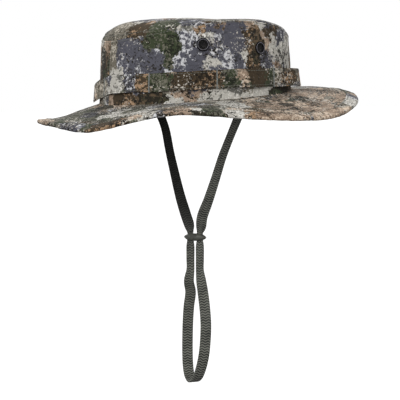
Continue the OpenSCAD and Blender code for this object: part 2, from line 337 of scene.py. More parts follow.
# ---------------------------------------------------------------- material helpers
def srgb(r, g, b):
    def lin(c):
        c /= 255
        return c / 12.92 if c <= 0.04045 else ((c + 0.055) / 1.055) ** 2.4
    return (lin(r), lin(g), lin(b), 1)


class Nodes:
    """Small shorthand for building one material's node tree."""

    def __init__(self, name, rough=0.85, sheen=0.0, metal=0.0, specular=0.3):
        self.mat = bpy.data.materials.new(name)
        self.mat.use_nodes = True
        self.tree = self.mat.node_tree
        self.bsdf = self.tree.nodes["Principled BSDF"]
        self.bsdf.inputs["Roughness"].default_value = rough
        self.bsdf.inputs["Metallic"].default_value = metal
        self.bsdf.inputs["Specular IOR Level"].default_value = specular
        if sheen:
            self.bsdf.inputs["Sheen Weight"].default_value = sheen
            self.bsdf.inputs["Sheen Roughness"].default_value = 0.5

    def add(self, kind, inputs=(), **props):
        node = self.tree.nodes.new(kind)
        for key, value in props.items():
            setattr(node, key, value)
        for key, value in dict(inputs).items():
            if isinstance(value, bpy.types.NodeSocket):
                self.tree.links.new(value, node.inputs[key])
            else:
                node.inputs[key].default_value = value
        return node

    def math(self, op, a, b=0.0, clamp=False):
        return self.add("ShaderNodeMath", {0: a, 1: b}, operation=op, use_clamp=clamp).outputs[0]

    def noise(self, vec, scale, detail=2.0, rough=0.5):
        return self.add("ShaderNodeTexNoise", {"Vector": vec, "Scale": scale, "Detail": detail,
                                               "Roughness": rough})

    def step(self, value, low, high, to_low=0.0, to_high=1.0):
        return self.add("ShaderNodeMapRange", {0: value, 1: low, 2: high, 3: to_low, 4: to_high}).outputs[0]

    def mix(self, fac, a, b):
        node = self.add("ShaderNodeMix", {0: fac, 6: a, 7: b}, data_type="RGBA")
        return node.outputs[2]

    def blend(self, fac, a, b):
        return self.add("ShaderNodeMix", {0: fac, 2: a, 3: b}, data_type="FLOAT").outputs[0]

    def bands(self, value, colours):
        """Even hard-edged bands of colour over 0 to 1."""
        node = self.add("ShaderNodeValToRGB", {0: value})
        node.color_ramp.interpolation = "CONSTANT"
        ramp = node.color_ramp.elements
        while len(ramp) < len(colours):
            ramp.new(0.5)
        for k, colour in enumerate(colours):
            ramp[k].position = k / len(colours)
            ramp[k].color = colour
        return node.outputs[0]

    def colour(self, socket):
        self.tree.links.new(socket, self.bsdf.inputs["Base Color"])

    def bump(self, height, distance, strength=1.0):
        node = self.add("ShaderNodeBump", {"Height": height, "Strength": strength, "Distance": distance})
        self.tree.links.new(node.outputs[0], self.bsdf.inputs["Normal"])


# The print's seven cloth grounds, each with its main and its second fleck colour; DARK is also used as
# painted shadow under the band.
GROUNDS = [srgb(78, 78, 86), srgb(54, 61, 43), srgb(63, 53, 40), srgb(142, 123, 106), srgb(172, 169, 161),
           srgb(102, 97, 86), srgb(36, 33, 27)]
FLECKS = [srgb(190, 190, 192), srgb(32, 35, 26), srgb(150, 124, 98), srgb(84, 68, 53), srgb(92, 91, 86),
          srgb(56, 50, 41), srgb(88, 74, 58)]
MOTES = [srgb(56, 55, 58), srgb(98, 96, 84), srgb(32, 27, 21), srgb(198, 180, 160), srgb(208, 205, 198),
         srgb(170, 163, 150), srgb(60, 58, 44)]
SLATE, GREEN, BROWN, TAN, PALE, GREIGE, DARK = ((2 * k + 1) / 14 for k in range(7))


def weave_height(n, thread=0.55 * MM):
    """Fine over-and-under weave in cloth coordinates."""
    uv = n.add("ShaderNodeUVMap", uv_map="cloth").outputs[0]
    part = n.add("ShaderNodeSeparateXYZ", {0: uv})
    wave = math.pi / thread
    a = n.math("SINE", n.math("MULTIPLY", part.outputs[0], wave))
    b = n.math("SINE", n.math("MULTIPLY", part.outputs[1], wave))
    return n.math("MULTIPLY", a, b)


def camo(name, shift, patches=(), busy=0.0, painted_shade=1.0):
    """Printed cloth. patches are (centre, turn, half sizes, ground): where one ground rules.

    A higher busy spreads more flecks over it, and the last argument, below 1, darkens it all as painted
    shade.
    """
    n = Nodes(name, rough=0.92, sheen=0.03, specular=0.15)
    place3 = n.add("ShaderNodeTexCoord").outputs["Object"]
    ragged = place3
    for scale, detail, reach in ((75, 4, 0.030), (240, 5, 0.015)):
        warp = n.noise(place3, scale, detail, 0.72).outputs["Color"]
        warp = n.add("ShaderNodeVectorMath", {0: warp, 1: (0.5, 0.5, 0.5)}, operation="SUBTRACT").outputs[0]
        warp = n.add("ShaderNodeVectorMath", {0: warp, 3: reach}, operation="SCALE").outputs[0]
        ragged = n.add("ShaderNodeVectorMath", {0: ragged, 1: warp}, operation="ADD").outputs[0]

    def shifted(by):
        return n.add("ShaderNodeMapping", {"Vector": place3,
                                           "Location": tuple(a + b for a, b in zip(shift, by))}).outputs[0]

    def spatter(by, scale, low, high):
        """Ragged clustered flecks; low and high set how much of the cloth they take."""
        at = shifted(by)
        cluster = n.noise(at, 38, 2, 0.5).outputs["Fac"]
        grain = n.noise(at, scale, 5, 0.72).outputs["Fac"]
        limit = n.step(cluster, 0.40, 0.62, low - busy, high - busy)
        return n.step(n.math("SUBTRACT", grain, limit), 0.0, 0.02)

    moved = n.add("ShaderNodeMapping", {"Vector": ragged, "Location": shift}).outputs[0]
    cells = n.add("ShaderNodeTexVoronoi", {"Vector": moved, "Scale": 46.0, "Randomness": 1.0})
    where = n.add("ShaderNodeSeparateColor", {0: cells.outputs["Color"]}).outputs[0]
    for centre, turn, halves, ground in patches:
        local = n.add("ShaderNodeMapping", {"Vector": ragged, "Location": tuple(centre),
                                            "Rotation": (0, 0, turn), "Scale": halves},
                      vector_type="TEXTURE")
        far = n.add("ShaderNodeVectorMath", {0: local.outputs[0]}, operation="LENGTH").outputs["Value"]
        where = n.blend(n.math("LESS_THAN", far, 1.0), where, ground)
    colour = n.mix(spatter((0, 0, 0), 230, 0.66, 0.46), n.bands(where, GROUNDS), n.bands(where, FLECKS))
    colour = n.mix(spatter((0.4, 0.7, 0.2), 330, 0.64, 0.51), colour, n.bands(where, MOTES))
    colour = n.mix(spatter((0.1, 0.3, 0.9), 300, 0.66, 0.52), colour, srgb(33, 30, 25))
    colour = n.mix(spatter((0.8, 0.5, 0.6), 420, 0.70, 0.57), colour, srgb(196, 190, 180))
    drift = n.noise(shifted((0.2, 0.1, 0.5)), 52, 4, 0.62).outputs["Fac"]
    vein = n.math("ABSOLUTE", n.math("SUBTRACT", drift, 0.5))
    colour = n.mix(n.step(vein, 0.002, 0.010, 0.65, 0.0), colour, n.bands(where, MOTES))
    tone = n.step(n.noise(moved, 900, 2, 0.6).outputs["Fac"], 0.3, 0.7, 0.76 * painted_shade, 1.2 * painted_shade)
    n.colour(n.add("ShaderNodeVectorMath", {0: colour, 3: tone}, operation="SCALE").outputs[0])
    fuzz = n.noise(place3, 1500, 2, 0.6).outputs["Fac"]
    n.bump(n.math("ADD", n.math("MULTIPLY", weave_height(n), 0.5), fuzz), 0.09 * MM, 0.6)
    return n.mat


def plain_cloth(name, colour, thread=0.6 * MM, vary=0.25):
    n = Nodes(name, rough=0.9, sheen=0.1, specular=0.2)
    place3 = n.add("ShaderNodeTexCoord").outputs["Object"]
    tone = n.step(n.noise(place3, 240, 4, 0.65).outputs["Fac"], 0.3, 0.7, 1 - vary, 1 + vary)
    base = n.add("ShaderNodeVectorMath", {0: colour[:3], 3: tone}, operation="SCALE").outputs[0]
    n.colour(base)
    n.bump(weave_height(n, thread), 0.12 * MM, 0.7)
    return n.mat


def thread_material(name, colour):
    n = Nodes(name, rough=0.6, sheen=0.1)
    place3 = n.add("ShaderNodeTexCoord").outputs["Object"]
    tone = n.step(n.noise(place3, 700, 2, 0.5).outputs["Fac"], 0.3, 0.7, 0.75, 1.2)
    n.colour(n.add("ShaderNodeVectorMath", {0: colour[:3], 3: tone}, operation="SCALE").outputs[0])
    n.bump(n.noise(place3, 2600, 2, 0.5).outputs["Fac"], 0.05 * MM, 0.6)
    return n.mat


def metal_black(name):
    n = Nodes(name, rough=0.4, specular=0.1)
    place3 = n.add("ShaderNodeTexCoord").outputs["Object"]
    worn = n.noise(place3, 420, 3, 0.6).outputs["Fac"]
    n.colour(n.mix(n.step(worn, 0.55, 0.75), srgb(5, 5, 6), srgb(14, 14, 16)))
    n.bump(n.noise(place3, 900, 2, 0.5).outputs["Fac"], 0.02 * MM, 0.4)
    return n.mat


RIB = 2.7 * MM    # spacing of the braid's chevrons


def braid(name):
    """Flat herringbone braid: its chevron ribs painted light on top and painted shade in the grooves
    between them.
    """
    n = Nodes(name, rough=0.72, sheen=0.15, specular=0.3)
    uv = n.add("ShaderNodeUVMap", uv_map="cloth").outputs[0]
    part = n.add("ShaderNodeSeparateXYZ", {0: uv})
    fold = n.math("PINGPONG", part.outputs[1], 2.65 * MM)
    ramp = n.math("ADD", part.outputs[0], n.math("MULTIPLY", fold, 0.6))
    rib = n.math("SINE", n.math("MULTIPLY", ramp, TAU / RIB))
    place3 = n.add("ShaderNodeTexCoord").outputs["Object"]
    blotch = n.noise(place3, 120, 3, 0.6).outputs["Fac"]
    # The rib mask paints light on the raised chevrons and shade in the grooves; the blotches are the yarn's
    # own tone.
    lit = n.math("ADD", n.math("MULTIPLY", rib, 0.4), blotch)
    yarn_and_rib_shade = n.mix(n.step(lit, 0.3, 0.75), srgb(20, 21, 19), srgb(108, 109, 101))
    # The right leg, past the keeper, is painted almost black as painted shade, and the left one a little
    # paler as painted light.
    painted_leg_light_and_shade = n.step(part.outputs[0], 0.445, 0.50, 1.0, 0.22)
    painted_leg_light_and_shade = n.math("MULTIPLY", painted_leg_light_and_shade, n.step(part.outputs[0], 0.10, 0.17, 1.3, 1.0))
    n.colour(n.add("ShaderNodeVectorMath", {0: yarn_and_rib_shade, 3: painted_leg_light_and_shade}, operation="SCALE").outputs[0])
    fuzz = n.noise(place3, 2200, 2, 0.6).outputs["Fac"]
    n.bump(n.math("ADD", n.math("MULTIPLY", rib, 0.6), fuzz), 0.12 * MM, 0.6)
    return n.mat


def leather(name):
    n = Nodes(name, rough=0.55, specular=0.35)
    place3 = n.add("ShaderNodeTexCoord").outputs["Object"]
    grain = n.add("ShaderNodeTexVoronoi", {"Vector": place3, "Scale": 900.0}).outputs["Distance"]
    blotch = n.noise(place3, 260, 4, 0.6).outputs["Fac"]
    n.colour(n.mix(n.step(blotch, 0.3, 0.7), srgb(48, 49, 45), srgb(82, 83, 76)))
    n.bump(grain, 0.12 * MM, 0.5)
    return n.mat


def on_crown(*rows):
    """Print patches on the crown wall, some of them painted shadow: angle, height, half width and half
    height in mm, ground.
    """
    out = []
    for deg, z, wide, high, ground in rows:
        f = math.radians(deg)
        turn = math.atan2(math.sin(f) / OPEN_B, math.cos(f) / OPEN_A)
        out.append((wall(f, z * MM), turn, (30 * MM, wide * MM, high * MM), ground))
    return out


def on_brim(*rows):
    """Print patches on the brim: angle, share of its width, half length and half width in mm, ground."""
    return [(brim(math.radians(deg), t), math.radians(deg), (across * MM, along * MM, 30 * MM), ground)
            for deg, t, along, across, ground in rows]


CROWN_PATCHES = on_crown(
    (0, 50, 22, 34, GREIGE), (20, 46, 16, 26, SLATE), (30, 36, 14, 20, SLATE), (38, 26, 18, 10, SLATE),
    (66, 44, 36, 34, SLATE), (88, 46, 24, 34, SLATE), (46, 40, 16, 22, SLATE),
    (31, 70, 16, 9, BROWN), (40, 62, 12, 13, GREEN),
    (49, 55, 12, 15, GREEN), (48, 40, 6, 9, GREEN), (58, 72, 9, 5, PALE), (66, 70, 6, 4, BROWN),
    (101, 48, 13, 26, BROWN), (100, 66, 12, 8, BROWN), (103, 54, 7, 16, DARK), (109, 38, 7, 14, SLATE),
    (116, 65, 10, 6, BROWN), (119, 52, 10, 12, PALE), (130, 60, 12, 13, SLATE), (128, 46, 9, 12, PALE),
    (138, 46, 10, 22, PALE), (148, 40, 5, 22, BROWN), (116, 26, 9, 7, BROWN),
    (10, 22, 10, 12, PALE), (74, 36, 8, 6, PALE), (70, 62, 6, 6, PALE), (94, 44, 5, 5, PALE),
    # The DARK patches at 36 and 124 degrees, just below the band, are painted shadow of the band.
    (2, -2, 14, 6, TAN), (16, 0, 14, 6, BROWN), (36, 1, 20, 8, DARK), (62, 4, 20, 7, TAN),
    (60, 7, 4, 3, DARK), (76, 3, 20, 6, PALE), (84, 5, 26, 7, PALE),
    (104, 6, 14, 8, PALE), (124, 6, 20, 9, DARK), (122, 4, 12, 6, GREEN))
TIP_PATCHES = on_crown(
    (0, 68, 26, 14, GREIGE), (28, 70, 20, 10, BROWN), (44, 72, 18, 10, GREEN), (62, 76, 12, 10, SLATE),
    (80, 77, 14, 8, PALE), (96, 76, 16, 8, PALE), (112, 76, 14, 8, SLATE), (128, 74, 16, 9, PALE))
BRIM_PATCHES = on_brim(
    (-12, 0.6, 30, 30, GREEN), (14, 0.66, 26, 18, GREEN), (12, 0.86, 22, 6, SLATE), (26, 0.5, 20, 20, PALE),
    (24, 0.75, 16, 8, GREEN), (36, 0.4, 16, 14, GREEN), (40, 0.74, 14, 12, PALE), (36, 0.84, 8, 8, BROWN),
    (46, 0.3, 16, 18, SLATE), (56, 0.3, 18, 16, SLATE), (56, 0.72, 14, 8, TAN), (68, 0.84, 14, 9, GREEN),
    (68, 0.35, 16, 18, GREIGE), (80, 0.4, 16, 20, PALE), (80, 0.8, 14, 8, TAN), (96, 0.5, 26, 34, TAN),
    (116, 0.5, 30, 36, TAN), (136, 0.5, 30, 36, TAN), (152, 0.5, 26, 36, TAN), (99, 0.2, 8, 7, GREEN),
    (128, 0.32, 13, 9, DARK), (112, 0.8, 9, 5, BROWN),
    (108, 0.45, 9, 5, BROWN), (140, 0.6, 10, 5, GREIGE), (90, 0.62, 9, 4, BROWN),
    (4, 0.4, 16, 9, SLATE), (18, 0.78, 18, 5, DARK), (34, 0.86, 20, 4, DARK), (46, 0.14, 16, 5, DARK),
    (60, 0.46, 22, 9, SLATE), (72, 0.6, 20, 3, DARK), (58, 0.68, 18, 3, DARK), (86, 0.74, 16, 3, DARK),
    (104, 0.66, 14, 3, DARK), (122, 0.6, 9, 4, BROWN), (132, 0.8, 12, 3, DARK), (118, 0.3, 14, 4, GREEN))
BAND_PATCHES = on_crown(
    (-30, 6, 16, 14, GREEN), (-8, 12, 14, 14, GREIGE), (12, 16, 9, 14, PALE), (24, 16, 9, 14, SLATE),
    (32, 16, 8, 14, BROWN), (44, 18, 12, 14, GREEN), (58, 20, 14, 14, BROWN), (72, 21, 12, 14, BROWN),
    (84, 22, 10, 14, GREEN), (92, 22, 4, 14, TAN), (102, 22, 12, 14, BROWN), (113, 22, 6, 14, GREEN),
    (128, 22, 12, 14, BROWN), (146, 22, 14, 14, TAN))
BINDING_PATCHES = on_brim(
    (-20, 0.95, 46, 12, TAN), (12, 0.95, 18, 12, SLATE), (30, 0.95, 24, 12, BROWN), (45, 0.95, 9, 12, PALE),
    (56, 0.95, 16, 12, TAN), (69, 0.95, 12, 12, GREEN), (77, 0.95, 9, 12, PALE), (94, 0.95, 32, 12, TAN),
    (118, 0.95, 34, 12, TAN), (142, 0.95, 22, 12, PALE), (150, 0.95, 10, 12, SLATE))

print_crown = camo("print_crown", (0.35, 0.6, 0.15), CROWN_PATCHES)
print_crown_right = camo("print_crown_right", (0.31, 0.12, 0.05))
print_tip = camo("print_tip", (0.7, 0.2, 0.4), TIP_PATCHES)
# The brim's print is darkened to 0.84 as painted shade.
print_brim = camo("print_brim", (0.5, 0.9, 0.3), BRIM_PATCHES, 0.045, 0.84)
print_under = camo("print_under", (0.15, 0.45, 0.8))
print_band = camo("print_band", (0.9, 0.1, 0.6), BAND_PATCHES, 0.02)
print_binding = camo("print_binding", (0.25, 0.65, 0.95), BINDING_PATCHES, 0.03)
tape_cloth = plain_cloth("tape_cloth", srgb(52, 54, 48))
sweat_cloth = plain_cloth("sweat_cloth", srgb(66, 70, 60), 0.9 * MM)
stiff_cloth = plain_cloth("stiff_cloth", srgb(205, 204, 198))
anchor_cloth = plain_cloth("anchor_cloth", srgb(70, 72, 60))
tack_thread = thread_material("tack_thread", srgb(118, 122, 120))
seam_thread = thread_material("seam_thread", srgb(96, 96, 88))
black_metal = metal_black("black_metal")
# Pale paint for the rings on the eyelets' lips: a painted highlight.
painted_highlight = thread_material("painted_highlight", srgb(128, 126, 134))
screen_wire = thread_material("screen_wire", srgb(15, 13, 17))
strap_braid = braid("strap_braid")
keeper_leather = leather("keeper_leather")


def dress(obj, material):
    obj.data.materials.clear()
    obj.data.materials.append(material)
    return obj


# ---------------------------------------------------------------- camera, light and floor
VIEW_AZIMUTH = math.radians(150)
CAMERA_D = 2.2
CAMERA_Z = 0.045
AIM_Z = -0.104
AIM_RIGHT = 0.0041
FOCAL = 194.1
FLOOR_Z, FLOOR_HALF = -3, 100


def make_camera():
    away = Vector((math.sin(VIEW_AZIMUTH), -math.cos(VIEW_AZIMUTH), 0))
    right = Vector((math.cos(VIEW_AZIMUTH), math.sin(VIEW_AZIMUTH), 0))
    data = bpy.data.cameras.new("camera")
    data.lens = FOCAL
    data.sensor_width = 36
    data.clip_end = 300
    cam = bpy.data.objects.new("camera", data)
    bpy.context.scene.collection.objects.link(cam)
    cam.location = away * CAMERA_D + right * AIM_RIGHT + Vector((0, 0, CAMERA_Z))
    aim = right * AIM_RIGHT + Vector((0, 0, AIM_Z))
    cam.rotation_euler = (aim - cam.location).to_track_quat("-Z", "Y").to_euler()
    bpy.context.scene.camera = cam
    return away, right


def area_light(name, where, size, power):
    data = bpy.data.lights.new(name, "AREA")
    data.size = size
    data.energy = power
    lamp = bpy.data.objects.new(name, data)
    bpy.context.scene.collection.objects.link(lamp)
    lamp.location = where
    lamp.rotation_euler = (Vector((0, 0, 0)) - lamp.location).to_track_quat("-Z", "Y").to_euler()


def make_room(away, right):
    """A white studio: bright from the horizon up, dimmer from below, over a pale floor."""
    world = bpy.data.worlds.new("studio")
    world.use_nodes = True
    tree = world.node_tree
    back = tree.nodes["Background"]
    coord = tree.nodes.new("ShaderNodeTexCoord")
    part = tree.nodes.new("ShaderNodeSeparateXYZ")
    level = tree.nodes.new("ShaderNodeMapRange")
    tree.links.new(coord.outputs["Generated"], part.inputs[0])
    tree.links.new(part.outputs[2], level.inputs[0])
    for socket, value in zip((1, 2, 3, 4), (-0.22, -0.05, 0.2, 1.0)):
        level.inputs[socket].default_value = value
    tree.links.new(level.outputs[0], back.inputs[1])
    back.inputs[0].default_value = (1, 1, 1, 1)
    bpy.context.scene.world = world
    area_light("key", away * 2.1 - right * 0.7 + Vector((0, 0, 1.0)), 1.0, 30)
    area_light("back", away * -1.9 + Vector((0, 0, 0.9)), 1.4, 12)
    corners = [(x * FLOOR_HALF, y * FLOOR_HALF, FLOOR_Z) for x, y in ((-1, -1), (1, -1), (1, 1), (-1, 1))]
    floor = make_object("floor", corners, [(0, 1, 2, 3)])
    n = Nodes("floor_white", rough=0.9, specular=0.1)
    n.bsdf.inputs["Base Color"].default_value = (0.9, 0.9, 0.9, 1)
    n.bsdf.inputs["Emission Color"].default_value = (1, 1, 1, 1)
    n.bsdf.inputs["Emission Strength"].default_value = 0.25
    dress(floor, n.mat)
    floor.visible_diffuse = False
    floor.visible_glossy = False
    bpy.context.scene.view_settings.view_transform = "Standard"


# ---------------------------------------------------------------- chin strap and keeper
def smooth_route(route, per_leg):
    """Catmull-Rom through the route's rows, per_leg points a leg; returns rows of the same kind."""
    p = np.array(route, float)
    p = np.concatenate([[2 * p[0] - p[1]], p, [2 * p[-1] - p[-2]]])
    out = []
    for k in range(1, len(p) - 2):
        for u in np.arange(per_leg) / per_leg:
            a, b, c, d = p[k - 1:k + 3]
            out.append(0.5 * (2 * b + (c - a) * u + (2 * a - 5 * b + 4 * c - d) * u ** 2
                              + (3 * b - a - 3 * c + d) * u ** 3))
    out.append(p[-2])
    return np.array(out)


def even_rows(rows, spacing):
    s = np.concatenate([[0], np.cumsum(np.linalg.norm(np.diff(rows[:, :3], axis=0), axis=1))])
    at = np.linspace(0, s[-1], int(s[-1] / spacing) + 1)
    return np.stack([np.interp(at, s, rows[:, k]) for k in range(rows.shape[1])], -1), at


def make_strap():
    """The flat braid, its chevron yarns raised in the mesh, along the route."""
    rows, s = even_rows(smooth_route(STRAP, 24), 0.5)
    centre = rows[:, :3] * MM
    s = s * MM
    tangent = np.gradient(centre, axis=0)
    tangent /= np.linalg.norm(tangent, axis=1, keepdims=True)
    turn = np.radians(rows[:, 3])
    level = np.stack([np.cos(turn), np.sin(turn), 0 * turn], -1)
    across = level - (level * tangent).sum(1, keepdims=True) * tangent
    across /= np.linalg.norm(across, axis=1, keepdims=True)
    thick = np.cross(tangent, across)
    half_w, half_t = rows[:, 4] * MM / 2, rows[:, 5] * MM / 2
    n_flat = 22
    x = np.linspace(-0.93, 0.93, n_flat)
    edge = np.array([1.0, 1.0])
    xs = np.concatenate([x, edge, x[::-1], -edge])
    ys = np.concatenate([-np.ones(n_flat), [-0.5, 0.5], np.ones(n_flat), [0.5, -0.5]])
    chev = 1 - np.abs(((xs[None] * half_w[:, None] / (2.6 * MM)) % 2) - 1)
    phase = s[:, None] / RIB + chev * 1.06
    rib = np.abs(np.sin(np.pi * phase)) ** 0.8
    face = (np.abs(xs) < 0.95)[None]
    grow = 1 + face * (rib - 1) * 0.3
    outline = (centre[:, None] + across[:, None] * (xs[None] * half_w[:, None])[..., None]
               + thick[:, None] * (ys[None] * half_t[:, None] * grow)[..., None])
    nu, nv = outline.shape[:2]
    faces, corners = lattice_faces(nu, nv, False, True)
    width_at = np.concatenate([xs, xs[:1]]) * 5.2 * MM
    uv = np.stack([corners[..., 0] * 0.5 * MM, width_at[corners[..., 1]]], -1)
    faces = faces.tolist() + [list(range(nv)), [(nu - 1) * nv + j for j in range(nv)]]
    uv = uv.reshape(-1, 2).tolist() + [[0, 0]] * (2 * nv)
    strap = face_outward(make_object("chin_strap_braid", outline, faces, uv, 60))
    dress(strap, strap_braid)
    place(strap, "chin_strap", "strap_braid", "chin_strap")
    return strap, centre, s[-1]


def make_keeper():
    """An almond-shaped soft slider with two slots that grip the strap."""
    half_l, half_d, high, rise = 13.5 * MM, 5.5 * MM, 8 * MM, 5 * MM
    plan_r = (half_l ** 2 + half_d ** 2) / (2 * half_d)
    side_r = (half_l ** 2 + rise ** 2) / (2 * rise)
    x = (np.sin(np.linspace(-np.pi / 2, np.pi / 2, 48)) * half_l * 0.99)[:, None]
    deep = np.sqrt(plan_r ** 2 - x ** 2) - (plan_r - half_d)
    tall = np.sqrt(side_r ** 2 - x ** 2) - (side_r - rise)
    tall = (tall ** -6 + (high / 2) ** -6) ** (-1 / 6)
    ang = (np.arange(40) * TAU / 40)[None]
    y = deep * np.sign(np.cos(ang)) * np.abs(np.cos(ang)) ** 0.75
    z = tall * np.sign(np.sin(ang)) * np.abs(np.sin(ang)) ** 0.75
    rings = np.stack([x + 0 * ang, y, z], -1)
    nu, nv = rings.shape[:2]
    faces, _ = lattice_faces(nu, nv, False, True)
    faces = faces.tolist() + [list(range(nv)), [(nu - 1) * nv + j for j in range(nv)]]
    body = face_outward(make_object("keeper_slider", rings, faces))
    for side in (-1, 1):
        ang = np.linspace(0, TAU, 28, endpoint=False)
        sx = 5.6 * MM * side + 4.7 * MM * np.sign(np.cos(ang)) * np.abs(np.cos(ang)) ** 0.4
        sy = 2.1 * MM * np.sign(np.sin(ang)) * np.abs(np.sin(ang)) ** 0.4
        loops = [np.column_stack([sx, sy, np.full(28, z)]) for z in (-6 * MM, 6 * MM)]
        cut_faces, _ = lattice_faces(2, 28, False, True)
        cut_faces = cut_faces.tolist() + [list(range(28)), list(range(28, 56))]
        cutter = face_outward(make_object("slot_cutter", np.array(loops), cut_faces))
        mod = body.modifiers.new("slot", "BOOLEAN")
        mod.object = cutter
        mod.operation = "DIFFERENCE"
        bake_modifiers(body)
        bpy.data.objects.remove(cutter)
    mod = body.modifiers.new("remesh", "REMESH")
    mod.mode = "VOXEL"
    mod.voxel_size = 0.25 * MM
    mod = body.modifiers.new("soft", "SMOOTH")
    mod.factor = 0.5
    mod.iterations = 3
    bake_modifiers(body)
    body.data.polygons.foreach_set("use_smooth", [True] * len(body.data.polygons))
    body.rotation_euler = (0, 0, KEEPER_TURN)
    body.location = KEEPER_C
    bpy.context.view_layer.update()
    body.data.transform(body.matrix_world)
    body.matrix_world.identity()
    body.rotation_euler = (0, 0, 0)
    body.location = (0, 0, 0)
    dress(body, keeper_leather)
    return place(body, "keeper", "keeper_leather", "keeper")


# ---------------------------------------------------------------- crown
VENT_HOLE = 5.6 * MM


def cut_vents(obj):
    """Opens the vent holes: points near each circle move onto it, and faces inside go."""
    bm = bmesh.new()
    bm.from_mesh(obj.data)
    for f, z in vent_points():
        centre, n, u, v = vent_frame(f, z)
        centre, n, u, v = map(Vector, (centre, n, u, v))
        flat = {}
        for vert in bm.verts:
            off = vert.co - centre
            if abs(off.dot(n)) > 12 * MM or off.dot(n) < -8 * MM:
                continue
            r = math.hypot(off.dot(u), off.dot(v))
            if r < 3 * VENT_HOLE:
                flat[vert] = r
        inside = [face for face in bm.faces if all(w in flat and flat[w] < VENT_HOLE for w in face.verts)]
        ring = {w for face in inside for w in face.verts if any(g not in inside for g in w.link_faces)}
        bmesh.ops.delete(bm, geom=inside, context="FACES")
        for w in ring:
            if w.is_valid:
                off = w.co - centre
                a, b, c = off.dot(u), off.dot(v), off.dot(n)
                r = math.hypot(a, b)
                w.co = centre + u * (a * VENT_HOLE / r) + v * (b * VENT_HOLE / r) + n * c
        edges = [e for e in bm.edges if e.is_boundary]
        if edges:
            bmesh.ops.bridge_loops(bm, edges=edges)
    bmesh.ops.recalc_face_normals(bm, faces=bm.faces)
    bm.to_mesh(obj.data)
    bm.free()
    obj.data.update()


def crown_side(name, start, end, material, node):
    nf, nz = 200, 60
    f = np.radians(np.linspace(start, end, nf))[:, None]
    v = np.linspace(0, 1, nz)[None]
    low = seat_z(f) + BRIM_HALF + 0.3 * MM
    z = low + (tip_seam_z(f) - 0.2 * MM - low) * v
    tuck = 1.1 * MM * np.exp(-(tip_seam_z(f) - z) / (0.9 * MM))
    side_tuck = 0.7 * MM * np.exp(-np.minimum(f - f[0], f[-1] - f) * 95 * MM / (1.0 * MM))
    d = wall_wear(f, z) - tuck - side_tuck
    obj = shell(name, wall(f, z, d), wall(f, z, d - CLOTH_T), False, (1.5 * MM, 1.2 * MM))
    cut_vents(obj)
    dress(obj, material)
    place(obj, "hat", "crown_cloth", node)
    return obj


def crown_tip():
    nf, nr = 320, 40
    f = (np.arange(nf) * TAU / nf)[:, None]
    r = (np.sin(np.linspace(0.03, np.pi / 2, nr)) ** 0.9)[None]
    base = tip(f, r)
    worn = 0.7 * MM * ripple(base, 60 * MM, 8) * (1 - r ** 8) + 0.15 * MM * ripple(base, 15 * MM, 9)
    drop = 0.5 * MM * np.exp(-(1 - r) * 90 * MM / (1.2 * MM))
    top = tip(f, r * (1 - 0.004 * np.exp(-(1 - r) * 90)), worn - drop)
    obj = shell("crown_tip_cloth", top, top - np.array([0, 0, CLOTH_T]), True, (1.8 * MM, 2.2 * MM))
    bm = bmesh.new()
    bm.from_mesh(obj.data)
    bm.verts.ensure_lookup_table()
    rows = 2 * nr
    rim = [[bm.verts[i * rows] for i in range(nf)], [bm.verts[i * rows + rows - 1] for i in range(nf)]]
    doomed = [face for face in bm.faces if sum(w in set(rim[0] + rim[1]) for w in face.verts) == 4]
    bmesh.ops.delete(bm, geom=doomed, context="FACES_ONLY")
    for loop in rim:
        middle = bm.verts.new(sum((w.co for w in loop), Vector()) / nf)
        for a, b in zip(loop, loop[1:] + loop[:1]):
            bm.faces.new((a, b, middle))
    bmesh.ops.recalc_face_normals(bm, faces=bm.faces)
    bm.to_mesh(obj.data)
    bm.free()
    obj.data.polygons.foreach_set("use_smooth", [True] * len(obj.data.polygons))
    dress(obj, print_tip)
    place(obj, "hat", "crown_cloth", "crown_tip")


def sweatband():
    nf, nz = 360, 20
    f = (np.arange(nf) * TAU / nf)[:, None]
    v = np.linspace(0, 1, nz)[None]
    z = seat_z(f) - 0.4 * MM + 30 * MM * v
    o = -CLOTH_T - 0.35 * MM - 0.5 * MM * (1 + ripple(wall(f, z), 26 * MM, 12)) * 0.5 * v
    o = o - 0.5 * MM * np.sin(np.pi * v)
    obj = shell("sweatband_cloth", wall(f, z, o), wall(f, z, o - 1.0 * MM), True, (1.6 * MM, 1.5 * MM))
    dress(obj, sweat_cloth)
    place(obj, "hat", "sweatband_cloth", "sweatband")


# ---------------------------------------------------------------- brim
BRIM_ROWS = 6
ROW_T = [0.05 + 0.125 * k for k in range(BRIM_ROWS)]


def brim_relief(f, t):
    """Padding between the stitch rows, with a slight pucker across each row."""
    w = brim_width(f)
    dip = sum(np.exp(-((t - k) * w / (0.9 * MM)) ** 2) for k in ROW_T)
    p = brim(f, t)
    pucker = ripple(p, 9 * MM, 21, 10) * 0.10 * MM * (t < 0.84)
    return -0.28 * MM * dip + pucker + sag_wave(p, t)


def brim_layers():
    nf, nt = 480, 62
    f = (np.arange(nf) * TAU / nf)[:, None]
    t = (0.008 + 0.985 * np.linspace(0, 1, nt))[None]
    relief = brim_relief(f, t)
    sag = brim(f, t, sag_wave(brim(f, t), t))
    rise = 0.7 * MM * np.exp(-t * 65 / 1.6)
    up = np.array([0, 0, 1.0])
    steps = (1.9 * MM, 1.05 * MM)
    upper = shell("brim_upper_cloth", brim(f, t, BRIM_HALF + relief + rise),
                  sag + up * 0.55 * MM, True, steps)
    under_relief = relief - sag_wave(brim(f, t), t)
    lower = shell("brim_lower_cloth", sag - up * 0.55 * MM,
                  sag + up * (-BRIM_HALF - under_relief)[..., None], True, steps)
    for obj, mat, slot, node in ((upper, print_brim, "brim_cloth", "brim_upper"),
                                 (lower, print_under, "under_cloth", "brim_lower")):
        dress(obj, mat)
        place(obj, "hat", slot, node)


